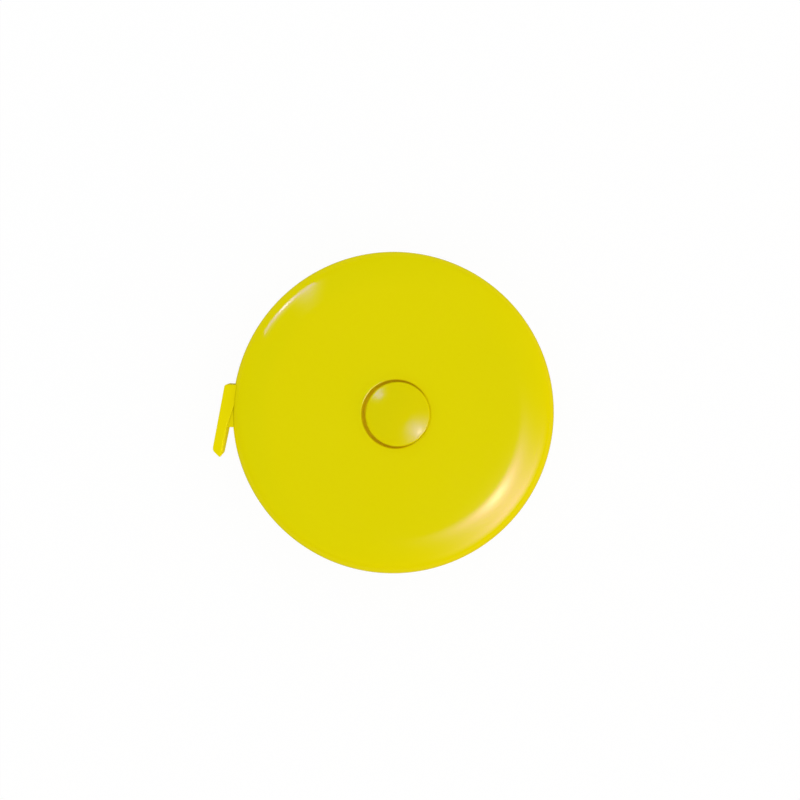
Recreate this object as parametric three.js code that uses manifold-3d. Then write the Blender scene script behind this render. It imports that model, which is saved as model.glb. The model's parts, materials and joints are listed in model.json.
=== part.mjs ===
// Round push-button cloth tape measure: a spring reel with about 1.5 m of tape in a two-shell plastic case.
// Millimetres, +Z up. The case lies on its back: z = 0 is the flat back face and the Z axis is the reel's axis.
// The tape leaves through a mouth in the rim on the -X side and ends in a moulded pull tab.
import * as THREE from "three";
import { mergeVertices } from "three/addons/utils/BufferGeometryUtils.js";
import Module from "manifold-3d";

const wasm = await Module();
wasm.setup();

// Clearances
const fitClear = 0.3; // between pieces that sit in or on each other
const runClear = 0.3; // between pieces that turn or slide past each other
const brakeClear = 0.25; // between the brake ring and the reel that it holds

// Case
const caseDiameter = 50;
const faceWall = 1.4;
const rimWall = 1.3;
const shoulderReach = 5.8; // radial width of the rounded shoulder between face and rim
const shoulderDrop = 3; // height of that shoulder
const seamGap = 0.2; // groove between the two shells
const seamChamfer = 0.25;
const lipWall = 0.8; // spigot on the back shell that locates the front shell
const lipRise = 1.6;
const lipRoot = 1.5;

// Tape and its winding
const tapeWidth = 7;
const tapeThickness = 0.25;
const tapePitch = 0.67; // radial step from one turn to the next
const tapeSideClear = 0.4;
const windingClear = 1.075; // from the full winding to the lip
const leadClear = 0.15; // from the full winding to the straight run that leaves it
const tapeBend = 0.5; // bend radius where the tape's inner end enters the drum

// Mouth and pull tab
const mouthAngle = THREE.MathUtils.degToRad(176.3); // where the tape crosses the rim, from +X
const mouthSlack = 0.675; // free width on each side of the tape in the mouth
const tabSeatGap = 0.2; // from the tab's hollow to the case that it rests on
const tabRoot = 1.45; // thickness of the tab over the mouth
const tabLean = THREE.MathUtils.degToRad(7.1); // slope of the tab's outer face to the rim
const tabAbove = 3.05; // how far the tab reaches past the mouth, against the pull
const tabSeatBelow = 1.7; // where its seat on the rim ends, along the pull
const tabStep = 1.8; // length of the ramp from that seat to the finger grip
const tabHeel = 3.65; // end of the heel under the grip, along the pull
const tabHeelHeight = 8;
const tabGripRoot = 1.55; // thickness of the grip where it starts
const tabTipThickness = 1.45;
const tabReach = 8.25; // tip of the finger grip, along the pull
const tabTipBevel = 1.25; // how much shorter the tip is on its outer side
const tabCornerRound = 0.7;
const tabSideWall = 0.5;
const tabSlotDepth = 2.3; // how deep the tape's end sits in the tab

// Button and brake
const buttonRadius = 4.95;
const buttonSideGap = 0.31;
const buttonLean = 0.25; // the button rests against one side of its hole
const buttonEdgeRound = 0.7;
const buttonCrownRadius = 28; // of the shallow sphere on top
const buttonSink = 0.1; // where its rounded edge starts, below the face
const buttonWall = 1.1;
const buttonCeilingDrop = 0.7; // from the start of its rounded edge to the hollow's ceiling
const buttonFlangeOverlap = 0.9;
const buttonFlangeThickness = 0.6;
const buttonStopGap = 0.4;
const buttonTravel = 1.2;
const holeEdgeRound = 0.2;
const stemRadius = 1.4;
const plungerWall = 0.5;
const plungerFloor = 0.6;
const shankLength = 1.7;
const keyWidth = 1;
const keyReach = 0.7;
const brakeRingWidth = 0.9;
const brakeRingThickness = 0.85;
const brakeRingSeat = 0.2;

// Button spring
const coilWire = 0.3;
const coilTurns = 3.75;
const coilSideClear = 0.5;
const springPegRadius = 1.4;
const springPegHeight = 1.1;

// Reel and mainspring
const flangeThickness = 0.9;
const drumWall = 1;
const hubWall = 1.2;
const webThickness = 0.8;
const dishClear = 0.8;
const bearingWall = 0.8;
const bearingLength = 1;
const arborWall = 1;
const mainspringThickness = 0.2;
const mainspringPitch = 0.65;
const mainspringTurns = 6.5;
const mainspringBend = 0.4;
const mainspringGap = 0.4; // from its first and last turn to the arbor and the drum
const anchorThickness = 0.6; // wedge that locks the tape's inner end in the drum

// Facets
const caseFacets = 60;
const reelFacets = 48;
const buttonFacets = 40;
const plungerFacets = 32;
const shoulderSteps = 6;
const crownSteps = 3;
const buttonEdgeSteps = 4;
const edgeSteps = 2;
const tapeStepsPerTurn = 28;
const mainspringStepsPerTurn = 24;
const bendSteps = 3;
const coilStepsPerTurn = 10;
const wireSides = 6;

// Heights, from the back face up
const caseThickness = tapeWidth + 2 * (tapeSideClear + flangeThickness + runClear + faceWall);
const midPlane = caseThickness / 2;
const backRimTop = midPlane - seamGap / 2;
const frontRimBottom = midPlane + seamGap / 2;
const faceUnder = caseThickness - faceWall;
const tapeLow = midPlane - tapeWidth / 2;
const tapeHigh = midPlane + tapeWidth / 2;
const flangeBottom = faceWall + runClear;
const flangeTop = flangeBottom + flangeThickness;
const capUnder = tapeHigh + tapeSideClear;
const capTop = capUnder + flangeThickness;
const drumTop = capUnder - fitClear;
const buttonEdge = caseThickness - buttonSink;
const buttonFlangeTop = faceUnder - buttonStopGap;
const buttonFlangeBottom = buttonFlangeTop - buttonFlangeThickness;
const dishFloor = buttonFlangeBottom - buttonTravel - runClear;
const webUnder = dishFloor - webThickness;
const arborTop = webUnder - runClear;
const bearingBottom = webUnder - bearingLength;
const brakeRingTop = webUnder - brakeClear;
const brakeRingBottom = brakeRingTop - brakeRingThickness;
const plungerShoulder = brakeRingBottom - brakeRingSeat;
const plungerBottom = plungerShoulder - shankLength;
const stemBottom = plungerBottom + plungerFloor + fitClear;
const springLow = faceWall + fitClear;
const springHigh = plungerBottom - fitClear;
const keywayBottom = plungerBottom - buttonTravel - runClear;
const mainspringLow = flangeTop + runClear;
const mainspringHigh = bearingBottom - runClear;

// Radii, from the axis out
const caseRadius = caseDiameter / 2;
const faceFlatRadius = caseRadius - shoulderReach;
const rimInner = caseRadius - rimWall;
const lipOuter = rimInner - fitClear;
const lipInner = lipOuter - lipWall;
const buttonHoleRadius = buttonRadius + buttonSideGap;
const buttonFlangeRadius = buttonHoleRadius + buttonFlangeOverlap;
const neckBore = stemRadius + fitClear;
const neckRadius = neckBore + plungerWall;
const brakeRingInner = neckRadius + fitClear;
const brakeRingOuter = brakeRingInner + brakeRingWidth;
const webHoleRadius = neckRadius + runClear;
const shankRadius = brakeRingOuter;
const arborBore = shankRadius + runClear;
const arborOuter = arborBore + arborWall;
const bearingInner = arborOuter + runClear;
const mainspringInner = arborOuter + mainspringGap;
const mainspringOuter = mainspringInner + mainspringTurns * mainspringPitch;
const dishLeast = buttonFlangeRadius + dishClear; // the cap's dish clears the button's flange
const drumInner = Math.max(mainspringOuter + mainspringGap, dishLeast + hubWall + fitClear);
const drumOuter = drumInner + drumWall;
const hubOuter = drumInner - fitClear;
const dishRadius = hubOuter - hubWall;
const tapeInner = drumOuter + tapeSideClear;
const tapeOuter = lipInner - windingClear - tapeThickness / 2;

// Directions in the plane of the winding
const leadRadius = tapeOuter + tapeThickness + leadClear;
const leadAngle = mouthAngle - Math.acos(leadRadius / caseRadius); // where the straight run leaves the winding
const leadToRim = Math.sqrt(caseRadius ** 2 - leadRadius ** 2);
const pull = new THREE.Vector2(-Math.sin(leadAngle), Math.cos(leadAngle));
const tapeSweep = ((tapeOuter - tapeInner) / tapePitch) * 2 * Math.PI;
const tapeSlitAngle = leadAngle - tapeSweep - Math.atan2(tapeBend, tapeInner);
const springSlotAngle = tapeSlitAngle + Math.PI; // opposite the tape's slit, so the two ends stay apart
const mainspringSweep = mainspringTurns * 2 * Math.PI;
const arborSlotAngle = springSlotAngle - mainspringSweep;
const keyAngles = [arborSlotAngle + Math.PI / 2, arborSlotAngle - Math.PI / 2];
const slotWidth = mainspringThickness + 2 * fitClear;
const slitWidth = tapeThickness + anchorThickness + 3 * fitClear;

// Materials
const plastic = (color, roughness) => new THREE.MeshStandardMaterial({ color, roughness, metalness: 0 });
const steel = (color, roughness) => new THREE.MeshStandardMaterial({ color, roughness, metalness: 1 });
const yellowGloss = plastic(0xdcd100, 0.25);
const whitePlastic = plastic(0xe9e7df, 0.5);
const blackRubber = plastic(0x1c1c1c, 0.85);
const printedTape = plastic(0xf3f1e6, 0.6);
const springSteel = steel(0x8d9399, 0.35);

// Closed geometry to a manifold-3d solid, without the empty triangles that a lathe leaves on its axis
function solidFrom(geometry) {
  const bare = new THREE.BufferGeometry().setAttribute("position", geometry.getAttribute("position"));
  bare.setIndex(geometry.index);
  const merged = mergeVertices(bare);
  const corners = merged.index.array;
  const kept = [];
  for (let i = 0; i < corners.length; i += 3) {
    const [a, b, c] = corners.slice(i, i + 3);
    if (a !== b && b !== c && c !== a) kept.push(a, b, c);
  }
  const vertProperties = merged.getAttribute("position").array;
  return new wasm.Manifold(new wasm.Mesh({ numProp: 3, vertProperties, triVerts: new Uint32Array(kept) }));
}

function geometryFrom(solid) {
  const made = solid.getMesh();
  return new THREE.BufferGeometry()
    .setAttribute("position", new THREE.BufferAttribute(made.vertProperties, 3))
    .setIndex(new THREE.BufferAttribute(made.triVerts, 1));
}

function part(name, solid, material) {
  const mesh = new THREE.Mesh(geometryFrom(solid), material);
  mesh.name = name;
  return mesh;
}

// Turns a closed profile of [radius, height] points, anticlockwise, about the Z axis
function turned(profile, facets) {
  const closed = profile[0][0] > 0 ? [...profile, profile[0]] : profile;
  const points = closed.map(([radius, height]) => new THREE.Vector2(radius, height));
  return solidFrom(new THREE.LatheGeometry(points, facets).rotateX(Math.PI / 2));
}

// Points of a stretch of an ellipse between two angles, in [radius, height]
function quarter(centre, radii, from, to, steps) {
  const points = [];
  for (let i = 0; i <= steps; i++) {
    const angle = from + ((to - from) * i) / steps;
    points.push([centre[0] + radii[0] * Math.cos(angle), centre[1] + radii[1] * Math.sin(angle)]);
  }
  return points;
}

// A block along the direction at an angle in the XY plane, from one radius to another
function radialBlock(angle, fromRadius, toRadius, width, low, high, sideways = 0) {
  const box = new THREE.BoxGeometry(toRadius - fromRadius, width, high - low);
  box.translate((fromRadius + toRadius) / 2, sideways, (low + high) / 2);
  return solidFrom(box.rotateZ(angle));
}

// A flat band on edge: follows a path in the XY plane and stands from one height to another
function band(path, thickness, low, high) {
  const positions = [];
  path.forEach((point, i) => {
    const before = path[Math.max(i - 1, 0)];
    const after = path[Math.min(i + 1, path.length - 1)];
    const along = after.clone().sub(before).normalize();
    const side = new THREE.Vector2(along.y, -along.x).multiplyScalar(thickness / 2);
    const outer = point.clone().add(side);
    const inner = point.clone().sub(side);
    positions.push(outer.x, outer.y, low, outer.x, outer.y, high);
    positions.push(inner.x, inner.y, high, inner.x, inner.y, low);
  });
  const faces = [];
  for (let i = 0; i + 1 < path.length; i++) {
    for (let corner = 0; corner < 4; corner++) {
      const here = 4 * i + corner;
      const next = 4 * i + ((corner + 1) % 4);
      faces.push(here, here + 4, next, next, here + 4, next + 4);
    }
  }
  const last = 4 * (path.length - 1);
  faces.push(0, 1, 2, 0, 2, 3, last, last + 2, last + 1, last, last + 3, last + 2);
  const geometry = new THREE.BufferGeometry();
  geometry.setAttribute("position", new THREE.Float32BufferAttribute(positions, 3));
  return solidFrom(geometry.setIndex(faces));
}

const polar = (radius, angle) => new THREE.Vector2(radius * Math.cos(angle), radius * Math.sin(angle));

// A radial tail from tailRadius that bends round into a spiral starting at startRadius
function hookIn(angle, tailRadius, startRadius, bend) {
  const points = [new THREE.Vector2(tailRadius, 0)];
  for (let i = 0; i < bendSteps; i++) {
    const turn = (i / bendSteps) * (Math.PI / 2);
    points.push(new THREE.Vector2(startRadius - bend + bend * Math.sin(turn), bend - bend * Math.cos(turn)));
  }
  return points.map((point) => point.rotateAround(new THREE.Vector2(), angle));
}

// The end of a spiral that bends outwards into a radial tail
function hookOut(angle, endRadius, tailRadius, bend) {
  const points = [];
  for (let i = 1; i <= bendSteps; i++) {
    const turn = (i / bendSteps) * (Math.PI / 2);
    points.push(new THREE.Vector2(endRadius + bend - bend * Math.cos(turn), bend * Math.sin(turn) - bend));
  }
  points.push(new THREE.Vector2(tailRadius, 0));
  return points.map((point) => point.rotateAround(new THREE.Vector2(), angle));
}

function spiral(fromRadius, toRadius, fromAngle, toAngle, stepsPerTurn) {
  const steps = Math.ceil(((toAngle - fromAngle) / (2 * Math.PI)) * stepsPerTurn);
  const points = [];
  for (let i = 0; i <= steps; i++) {
    const share = i / steps;
    points.push(polar(fromRadius + (toRadius - fromRadius) * share, fromAngle + (toAngle - fromAngle) * share));
  }
  return points;
}

// Distance between the faces of neighbouring turns, at its least
function leastGap(path, thickness, stepsPerTurn) {
  let least = Infinity;
  path.forEach((point, i) => {
    path.slice(i + Math.floor(stepsPerTurn / 2)).forEach((other) => {
      least = Math.min(least, point.distanceTo(other) - thickness);
    });
  });
  return least;
}

const pathLength = (path) => path.slice(1).reduce((sum, point, i) => sum + point.distanceTo(path[i]), 0);

// The slanting slot through the rim that the tape runs out of
function mouthCut() {
  const length = leadToRim + rimWall + 2 * tabRoot;
  const box = new THREE.BoxGeometry(tapeThickness + 2 * mouthSlack, length, tapeWidth + 2 * tapeSideClear);
  box.translate(leadRadius, length / 2, midPlane);
  return solidFrom(box.rotateZ(leadAngle));
}

function frontShell() {
  const shoulder = [faceFlatRadius, caseThickness - shoulderDrop];
  const edge = [buttonHoleRadius + holeEdgeRound, caseThickness - holeEdgeRound];
  const shell = turned(
    [
      [caseRadius - seamChamfer, frontRimBottom],
      [caseRadius, frontRimBottom + seamChamfer],
      ...quarter(shoulder, [shoulderReach, shoulderDrop], 0, Math.PI / 2, shoulderSteps),
      ...quarter(edge, [holeEdgeRound, holeEdgeRound], Math.PI / 2, Math.PI, edgeSteps),
      [buttonHoleRadius, faceUnder],
      ...quarter(shoulder, [rimInner - faceFlatRadius, shoulderDrop - faceWall], Math.PI / 2, 0, shoulderSteps),
      [rimInner, frontRimBottom],
    ],
    caseFacets,
  );
  return shell.subtract(mouthCut());
}

// The back shell carries the hollow arbor that the reel turns on and the brake plunger slides in
function backShell() {
  const shoulder = [faceFlatRadius, shoulderDrop];
  let shell = turned(
    [
      [0, 0],
      ...quarter(shoulder, [shoulderReach, shoulderDrop], -Math.PI / 2, 0, shoulderSteps),
      [caseRadius, backRimTop - seamChamfer],
      [caseRadius - seamChamfer, backRimTop],
      [lipOuter, backRimTop],
      [lipOuter, backRimTop + lipRise],
      [lipInner, backRimTop + lipRise],
      [lipInner, backRimTop - lipRoot],
      ...quarter(shoulder, [rimInner - faceFlatRadius, shoulderDrop - faceWall], 0, -Math.PI / 2, shoulderSteps),
      [arborOuter, faceWall],
      [arborOuter, arborTop],
      [arborBore, arborTop],
      [arborBore, faceWall],
      [springPegRadius, faceWall],
      [springPegRadius, faceWall + springPegHeight],
      [0, faceWall + springPegHeight],
    ],
    caseFacets,
  );
  const cutFrom = arborBore - fitClear;
  const cutTo = arborOuter + fitClear;
  const keyway = keyWidth + 2 * fitClear;
  keyAngles.forEach((angle) => {
    shell = shell.subtract(radialBlock(angle, cutFrom, cutTo, keyway, keywayBottom, arborTop + fitClear));
  });
  const springSlotLow = mainspringLow - fitClear;
  shell = shell.subtract(radialBlock(arborSlotAngle, cutFrom, cutTo, slotWidth, springSlotLow, arborTop + fitClear));
  return shell.subtract(mouthCut());
}

// The crown runs into the rounded edge without a crease
function pushButton() {
  const roundFrom = buttonRadius - buttonEdgeRound;
  const crownHalfAngle = Math.asin(roundFrom / (buttonCrownRadius - buttonEdgeRound));
  const crownCentre = buttonEdge - (buttonCrownRadius - buttonEdgeRound) * Math.cos(crownHalfAngle);
  const meeting = Math.PI / 2 - crownHalfAngle;
  const edgeRadii = [buttonEdgeRound, buttonEdgeRound];
  const crownRadii = [buttonCrownRadius, buttonCrownRadius];
  return turned(
    [
      [0, stemBottom],
      [stemRadius, stemBottom],
      [stemRadius, buttonEdge - buttonCeilingDrop],
      [buttonRadius - buttonWall, buttonEdge - buttonCeilingDrop],
      [buttonRadius - buttonWall, buttonFlangeBottom],
      [buttonFlangeRadius, buttonFlangeBottom],
      [buttonFlangeRadius, buttonFlangeTop],
      [buttonRadius, buttonFlangeTop],
      ...quarter([roundFrom, buttonEdge], edgeRadii, 0, meeting, buttonEdgeSteps),
      ...quarter([0, crownCentre], crownRadii, meeting, Math.PI / 2, crownSteps).slice(1, -1),
      [0, crownCentre + buttonCrownRadius],
    ],
    buttonFacets,
  );
}

// Pushed up by its spring, the plunger presses the brake ring against the reel. Two keys stop it from turning.
function brakePlunger() {
  const plunger = turned(
    [
      [0, plungerBottom],
      [shankRadius, plungerBottom],
      [shankRadius, plungerShoulder],
      [neckRadius, plungerShoulder],
      [neckRadius, dishFloor],
      [neckBore, dishFloor],
      [neckBore, plungerBottom + plungerFloor],
      [0, plungerBottom + plungerFloor],
    ],
    plungerFacets,
  );
  const key = (angle) =>
    radialBlock(angle, neckRadius, shankRadius + keyReach, keyWidth, plungerBottom, plungerShoulder);
  return keyAngles.reduce((joined, angle) => joined.add(key(angle)), plunger);
}

function brakeRing() {
  return turned(
    [
      [brakeRingInner, brakeRingBottom],
      [brakeRingOuter, brakeRingBottom],
      [brakeRingOuter, brakeRingTop],
      [brakeRingInner, brakeRingTop],
    ],
    plungerFacets,
  );
}

class Helix extends THREE.Curve {
  constructor(radius, low, high, turns) {
    super();
    Object.assign(this, { radius, low, high, turns });
  }

  getPoint(share, target = new THREE.Vector3()) {
    const angle = share * this.turns * 2 * Math.PI;
    const height = this.low + (this.high - this.low) * share;
    return target.set(this.radius * Math.cos(angle), this.radius * Math.sin(angle), height);
  }
}

function buttonSpring() {
  const wire = new THREE.Shape();
  for (let i = 0; i < wireSides; i++) {
    const corner = polar(coilWire / 2, (i / wireSides) * 2 * Math.PI);
    if (i === 0) wire.moveTo(corner.x, corner.y);
    else wire.lineTo(corner.x, corner.y);
  }
  const radius = arborBore - coilSideClear - coilWire / 2;
  const coil = new Helix(radius, springLow + coilWire / 2, springHigh - coilWire / 2, coilTurns);
  const gap = (springHigh - springLow - coilWire) / coilTurns - coilWire;
  console.log(`button spring: ${coilTurns} turns, least gap to itself ${gap.toFixed(2)} mm`);
  return solidFrom(
    new THREE.ExtrudeGeometry(wire, { steps: Math.round(coilTurns * coilStepsPerTurn), extrudePath: coil }),
  );
}

function reel() {
  const drum = turned(
    [
      [bearingInner, flangeBottom],
      [faceFlatRadius, flangeBottom],
      [faceFlatRadius, flangeTop],
      [drumOuter, flangeTop],
      [drumOuter, drumTop],
      [drumInner, drumTop],
      [drumInner, flangeTop],
      [bearingInner, flangeTop],
    ],
    reelFacets,
  );
  const cutFrom = drumInner - fitClear;
  const cutTo = drumOuter + fitClear;
  const cutTop = drumTop + fitClear;
  const slitShift = -(anchorThickness + fitClear) / 2;
  const slit = radialBlock(tapeSlitAngle, cutFrom, cutTo, slitWidth, tapeLow - fitClear, cutTop, slitShift);
  const slot = radialBlock(springSlotAngle, cutFrom, cutTo, slotWidth, mainspringLow - fitClear, cutTop);
  return drum.subtract(slit).subtract(slot);
}

// The cap is the reel's upper flange. Its dished middle clears the button and takes the brake ring from below.
function reelCap() {
  return turned(
    [
      [webHoleRadius, webUnder],
      [bearingInner, webUnder],
      [bearingInner, bearingBottom],
      [bearingInner + bearingWall, bearingBottom],
      [bearingInner + bearingWall, webUnder],
      [hubOuter, webUnder],
      [hubOuter, capUnder],
      [faceFlatRadius, capUnder],
      [faceFlatRadius, capTop],
      [dishRadius, capTop],
      [dishRadius, dishFloor],
      [webHoleRadius, dishFloor],
    ],
    reelFacets,
  );
}

// Clock spring: its inner end sits in the arbor's slot and its outer end in the drum's
function mainspring() {
  const start = Math.atan2(mainspringBend, mainspringInner);
  const end = mainspringSweep - Math.asin(mainspringBend / mainspringOuter);
  const path = [
    ...hookIn(arborSlotAngle, arborBore + fitClear, mainspringInner, mainspringBend),
    ...spiral(
      mainspringInner,
      mainspringOuter,
      arborSlotAngle + start,
      arborSlotAngle + end,
      mainspringStepsPerTurn,
    ),
    ...hookOut(springSlotAngle, mainspringOuter, drumOuter - fitClear, mainspringBend),
  ];
  const gap = leastGap(path, mainspringThickness, mainspringStepsPerTurn);
  console.log(`mainspring: ${pathLength(path).toFixed(0)} mm, least gap to itself ${gap.toFixed(2)} mm`);
  return band(path, mainspringThickness, mainspringLow, mainspringHigh);
}

// The tape wound on the drum, from its anchored end to where the straight run leaves
function tapeCoil() {
  const path = [
    ...hookIn(tapeSlitAngle, drumInner + fitClear, tapeInner, tapeBend),
    ...spiral(tapeInner, tapeOuter, leadAngle - tapeSweep, leadAngle, tapeStepsPerTurn),
  ];
  const gap = leastGap(path, tapeThickness, tapeStepsPerTurn);
  const turns = (tapeSweep / (2 * Math.PI)).toFixed(1);
  console.log(`tape: ${turns} turns, ${pathLength(path).toFixed(0)} mm wound, least gap to itself ${gap.toFixed(2)} mm`);
  return band(path, tapeThickness, tapeLow, tapeHigh);
}

// The straight run from the winding, through the mouth and into the tab
function tapeLead() {
  const start = polar(leadRadius, leadAngle);
  const length = leadToRim + tabSlotDepth - fitClear;
  return band([start, start.clone().addScaledVector(pull, length)], tapeThickness, tapeLow, tapeHigh);
}

// Wedge beside the tape's inner end in the drum's slit
function tapeAnchor() {
  const sideways = -(tapeThickness / 2 + fitClear + anchorThickness / 2);
  return radialBlock(tapeSlitAngle, drumInner, drumOuter, anchorThickness, tapeLow, tapeHigh, sideways);
}

// The outside of the closed case, grown by the gap that the tab keeps to it
function seatShape() {
  const radii = [shoulderReach + tabSeatGap, shoulderDrop + tabSeatGap];
  const upper = [faceFlatRadius, caseThickness - shoulderDrop];
  return turned(
    [
      [0, -tabSeatGap],
      ...quarter([faceFlatRadius, shoulderDrop], radii, -Math.PI / 2, 0, shoulderSteps),
      ...quarter(upper, radii, 0, Math.PI / 2, shoulderSteps),
      [0, caseThickness + tabSeatGap],
    ],
    caseFacets,
  );
}

// Drawn in the mouth's own frame: x away from the rim, y along the rim in the direction of pull.
// A ramp leads from the grip to the seat, which fits round the rim and its two shoulders, and a heel stiffens it.
function pullTab() {
  const slope = Math.tan(tabLean);
  const outer = (along) => caseRadius + tabSeatGap + tabRoot + along * slope;
  const gripStart = tabSeatBelow + tabStep;
  const gripInner = outer(gripStart) - tabGripRoot / Math.cos(tabLean);
  const seatEnd = Math.sqrt((caseRadius + tabSeatGap) ** 2 - tabSeatBelow ** 2);
  const ramp = (gripInner - seatEnd) / tabStep;
  const outline = new THREE.Shape();
  outline.moveTo(outer(tabReach - tabTipBevel), tabReach - tabTipBevel);
  outline.lineTo(outer(tabReach) - tabTipThickness / Math.cos(tabLean), tabReach);
  outline.lineTo(gripInner, gripStart);
  outline.lineTo(seatEnd - ramp * (tabSeatBelow + tabAbove), -tabAbove);
  outline.lineTo(outer(-tabAbove) - tabCornerRound, -tabAbove);
  outline.quadraticCurveTo(
    outer(-tabAbove),
    -tabAbove,
    outer(tabCornerRound - tabAbove),
    tabCornerRound - tabAbove,
  );
  const width = tapeWidth + 2 * (tapeSideClear + tabSideWall);
  const body = new THREE.ExtrudeGeometry(outline, { depth: width, bevelEnabled: false, curveSegments: 4 });
  body.translate(0, 0, midPlane - width / 2).rotateZ(mouthAngle);
  const heelOuter = outer(0) - tabGripRoot / 2;
  const heel = new THREE.BoxGeometry(heelOuter - rimInner, tabHeel, tabHeelHeight);
  heel.translate((rimInner + heelOuter) / 2, tabHeel / 2, midPlane).rotateZ(mouthAngle);
  const slotLength = leadToRim + tabSlotDepth;
  const slot = new THREE.BoxGeometry(tapeThickness + 2 * fitClear, slotLength, tapeWidth + 2 * tapeSideClear);
  slot.translate(leadRadius, slotLength / 2, midPlane).rotateZ(leadAngle);
  return solidFrom(body).add(solidFrom(heel)).subtract(seatShape()).subtract(solidFrom(slot));
}

const tapeMeasure = new THREE.Group();
const button = part("push_button", pushButton(), yellowGloss);
button.position.x = buttonLean;
tapeMeasure.add(
  part("back_shell", backShell(), yellowGloss),
  part("front_shell", frontShell(), yellowGloss),
  button,
  part("brake_plunger", brakePlunger(), whitePlastic),
  part("brake_ring", brakeRing(), blackRubber),
  part("button_spring", buttonSpring(), springSteel),
  part("reel", reel(), whitePlastic),
  part("reel_cap", reelCap(), whitePlastic),
  part("mainspring", mainspring(), springSteel),
  part("tape_coil", tapeCoil(), printedTape),
  part("tape_lead", tapeLead(), printedTape),
  part("tape_anchor", tapeAnchor(), whitePlastic),
  part("pull_tab", pullTab(), yellowGloss),
);

export default tapeMeasure;
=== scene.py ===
"""Looks of a round push-button cloth tape measure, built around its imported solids."""

import json
import math

import bpy
from bpy.props import FloatProperty, FloatVectorProperty, IntProperty, PointerProperty
from mathutils import Matrix, Vector


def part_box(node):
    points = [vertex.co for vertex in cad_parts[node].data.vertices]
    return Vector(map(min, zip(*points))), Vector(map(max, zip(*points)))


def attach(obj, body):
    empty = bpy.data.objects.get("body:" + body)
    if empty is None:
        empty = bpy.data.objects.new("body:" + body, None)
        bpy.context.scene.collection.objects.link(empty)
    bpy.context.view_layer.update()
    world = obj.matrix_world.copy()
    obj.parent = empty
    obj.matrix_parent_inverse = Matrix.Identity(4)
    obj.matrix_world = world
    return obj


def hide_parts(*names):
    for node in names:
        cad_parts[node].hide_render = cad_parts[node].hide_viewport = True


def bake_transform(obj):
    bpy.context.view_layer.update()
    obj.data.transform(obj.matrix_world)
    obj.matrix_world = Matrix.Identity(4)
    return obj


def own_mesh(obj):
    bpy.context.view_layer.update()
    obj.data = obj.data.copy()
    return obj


bl_info = {
    "name": "Cloth tape measure",
    "version": (1, 0, 0),
    "blender": (4, 5, 0),
    "location": "3D View > Sidebar > Tape measure",
    "description": "Builds the case, button, pull tab and tape of a spring tape measure",
    "category": "Object",
}

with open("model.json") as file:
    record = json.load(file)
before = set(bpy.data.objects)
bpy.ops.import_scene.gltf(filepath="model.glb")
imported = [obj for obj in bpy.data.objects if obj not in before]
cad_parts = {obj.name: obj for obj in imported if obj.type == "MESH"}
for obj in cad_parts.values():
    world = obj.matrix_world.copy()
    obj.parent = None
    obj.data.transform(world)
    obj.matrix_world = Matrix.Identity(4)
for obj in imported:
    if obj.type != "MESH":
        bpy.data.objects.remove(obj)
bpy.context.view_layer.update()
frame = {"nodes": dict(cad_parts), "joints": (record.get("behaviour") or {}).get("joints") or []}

MM = 0.001
TURN = 2 * math.pi
RIGHT = math.pi / 2

# Sizes and joints of the solids
FRONT_LOW, FRONT_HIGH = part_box("front_shell")
BUTTON_LOW, BUTTON_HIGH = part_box("push_button")
TAB_LOW, TAB_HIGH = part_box("pull_tab")
LEAD_LOW, LEAD_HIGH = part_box("tape_lead")
MAINSPRING_LOW, MAINSPRING_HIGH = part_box("mainspring")
COIL_LOW, COIL_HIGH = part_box("button_spring")
JOINTS = {joint["name"]: joint for joint in frame["joints"]}

CASE_RADIUS = FRONT_HIGH.x
CASE_TOP = FRONT_HIGH.z
RIM_LOW = FRONT_LOW.z
RIM_HIGH = CASE_TOP - RIM_LOW
LIP_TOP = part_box("back_shell")[1].z
BUTTON_X = (BUTTON_LOW.x + BUTTON_HIGH.x) / 2
PULL = Vector(JOINTS["tape_pull"]["axis"]).normalized()
PULL_ANGLE = math.atan2(PULL.y, PULL.x)
PULL_TRAVEL = JOINTS["tape_pull"]["range_m"][1]

# The tape's way: wound on the drum, then straight out of the mouth and into the tab
ROLL_INNER, ROLL_OUTER = 11.125 * MM, 21.4 * MM
ROLL_BEND = 0.5 * MM
LEAD_RADIUS = 21.8 * MM
LEAD_ANGLE = PULL_ANGLE - RIGHT
LEAD_TO_RIM = math.sqrt(CASE_RADIUS**2 - LEAD_RADIUS**2)
MOUTH_ANGLE = LEAD_ANGLE + math.acos(LEAD_RADIUS / CASE_RADIUS)
TAPE_SPARE = 0.4 * MM  # room over and under the tape, in the mouth and in the tab
SEAT_GAP = 0.03 * MM  # the tab looks as if it touches the rim that it rests on
SPRING_TURNS = 6.5


class CaseSettings(bpy.types.PropertyGroup):
    """Sizes and colour of the two shells"""

    shoulder_reach: FloatProperty(
        name="Shoulder reach", description="Radial width of the rounded shoulder",
        default=6 * MM, unit="LENGTH")
    shoulder_drop: FloatProperty(
        name="Shoulder drop", description="Height of the rounded shoulder",
        default=3 * MM, unit="LENGTH")
    face_wall: FloatProperty(
        name="Face wall", description="Thickness of the face and the back",
        default=1.4 * MM, unit="LENGTH")
    rim_wall: FloatProperty(
        name="Rim wall", description="Thickness of the rim",
        default=1.3 * MM, unit="LENGTH")
    seam_round: FloatProperty(
        name="Seam round", description="Radius of the two edges at the seam",
        default=0.25 * MM, unit="LENGTH")
    mouth_width: FloatProperty(
        name="Mouth width", description="Width of the slot that the tape leaves by",
        default=1.6 * MM, unit="LENGTH")
    steps: IntProperty(
        name="Steps", description="Facets around the case", default=240, min=24)
    colour: FloatVectorProperty(
        name="Colour", description="Colour of the moulded case",
        default=(0.727, 0.652, 0), subtype="COLOR", min=0, max=1)


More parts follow.
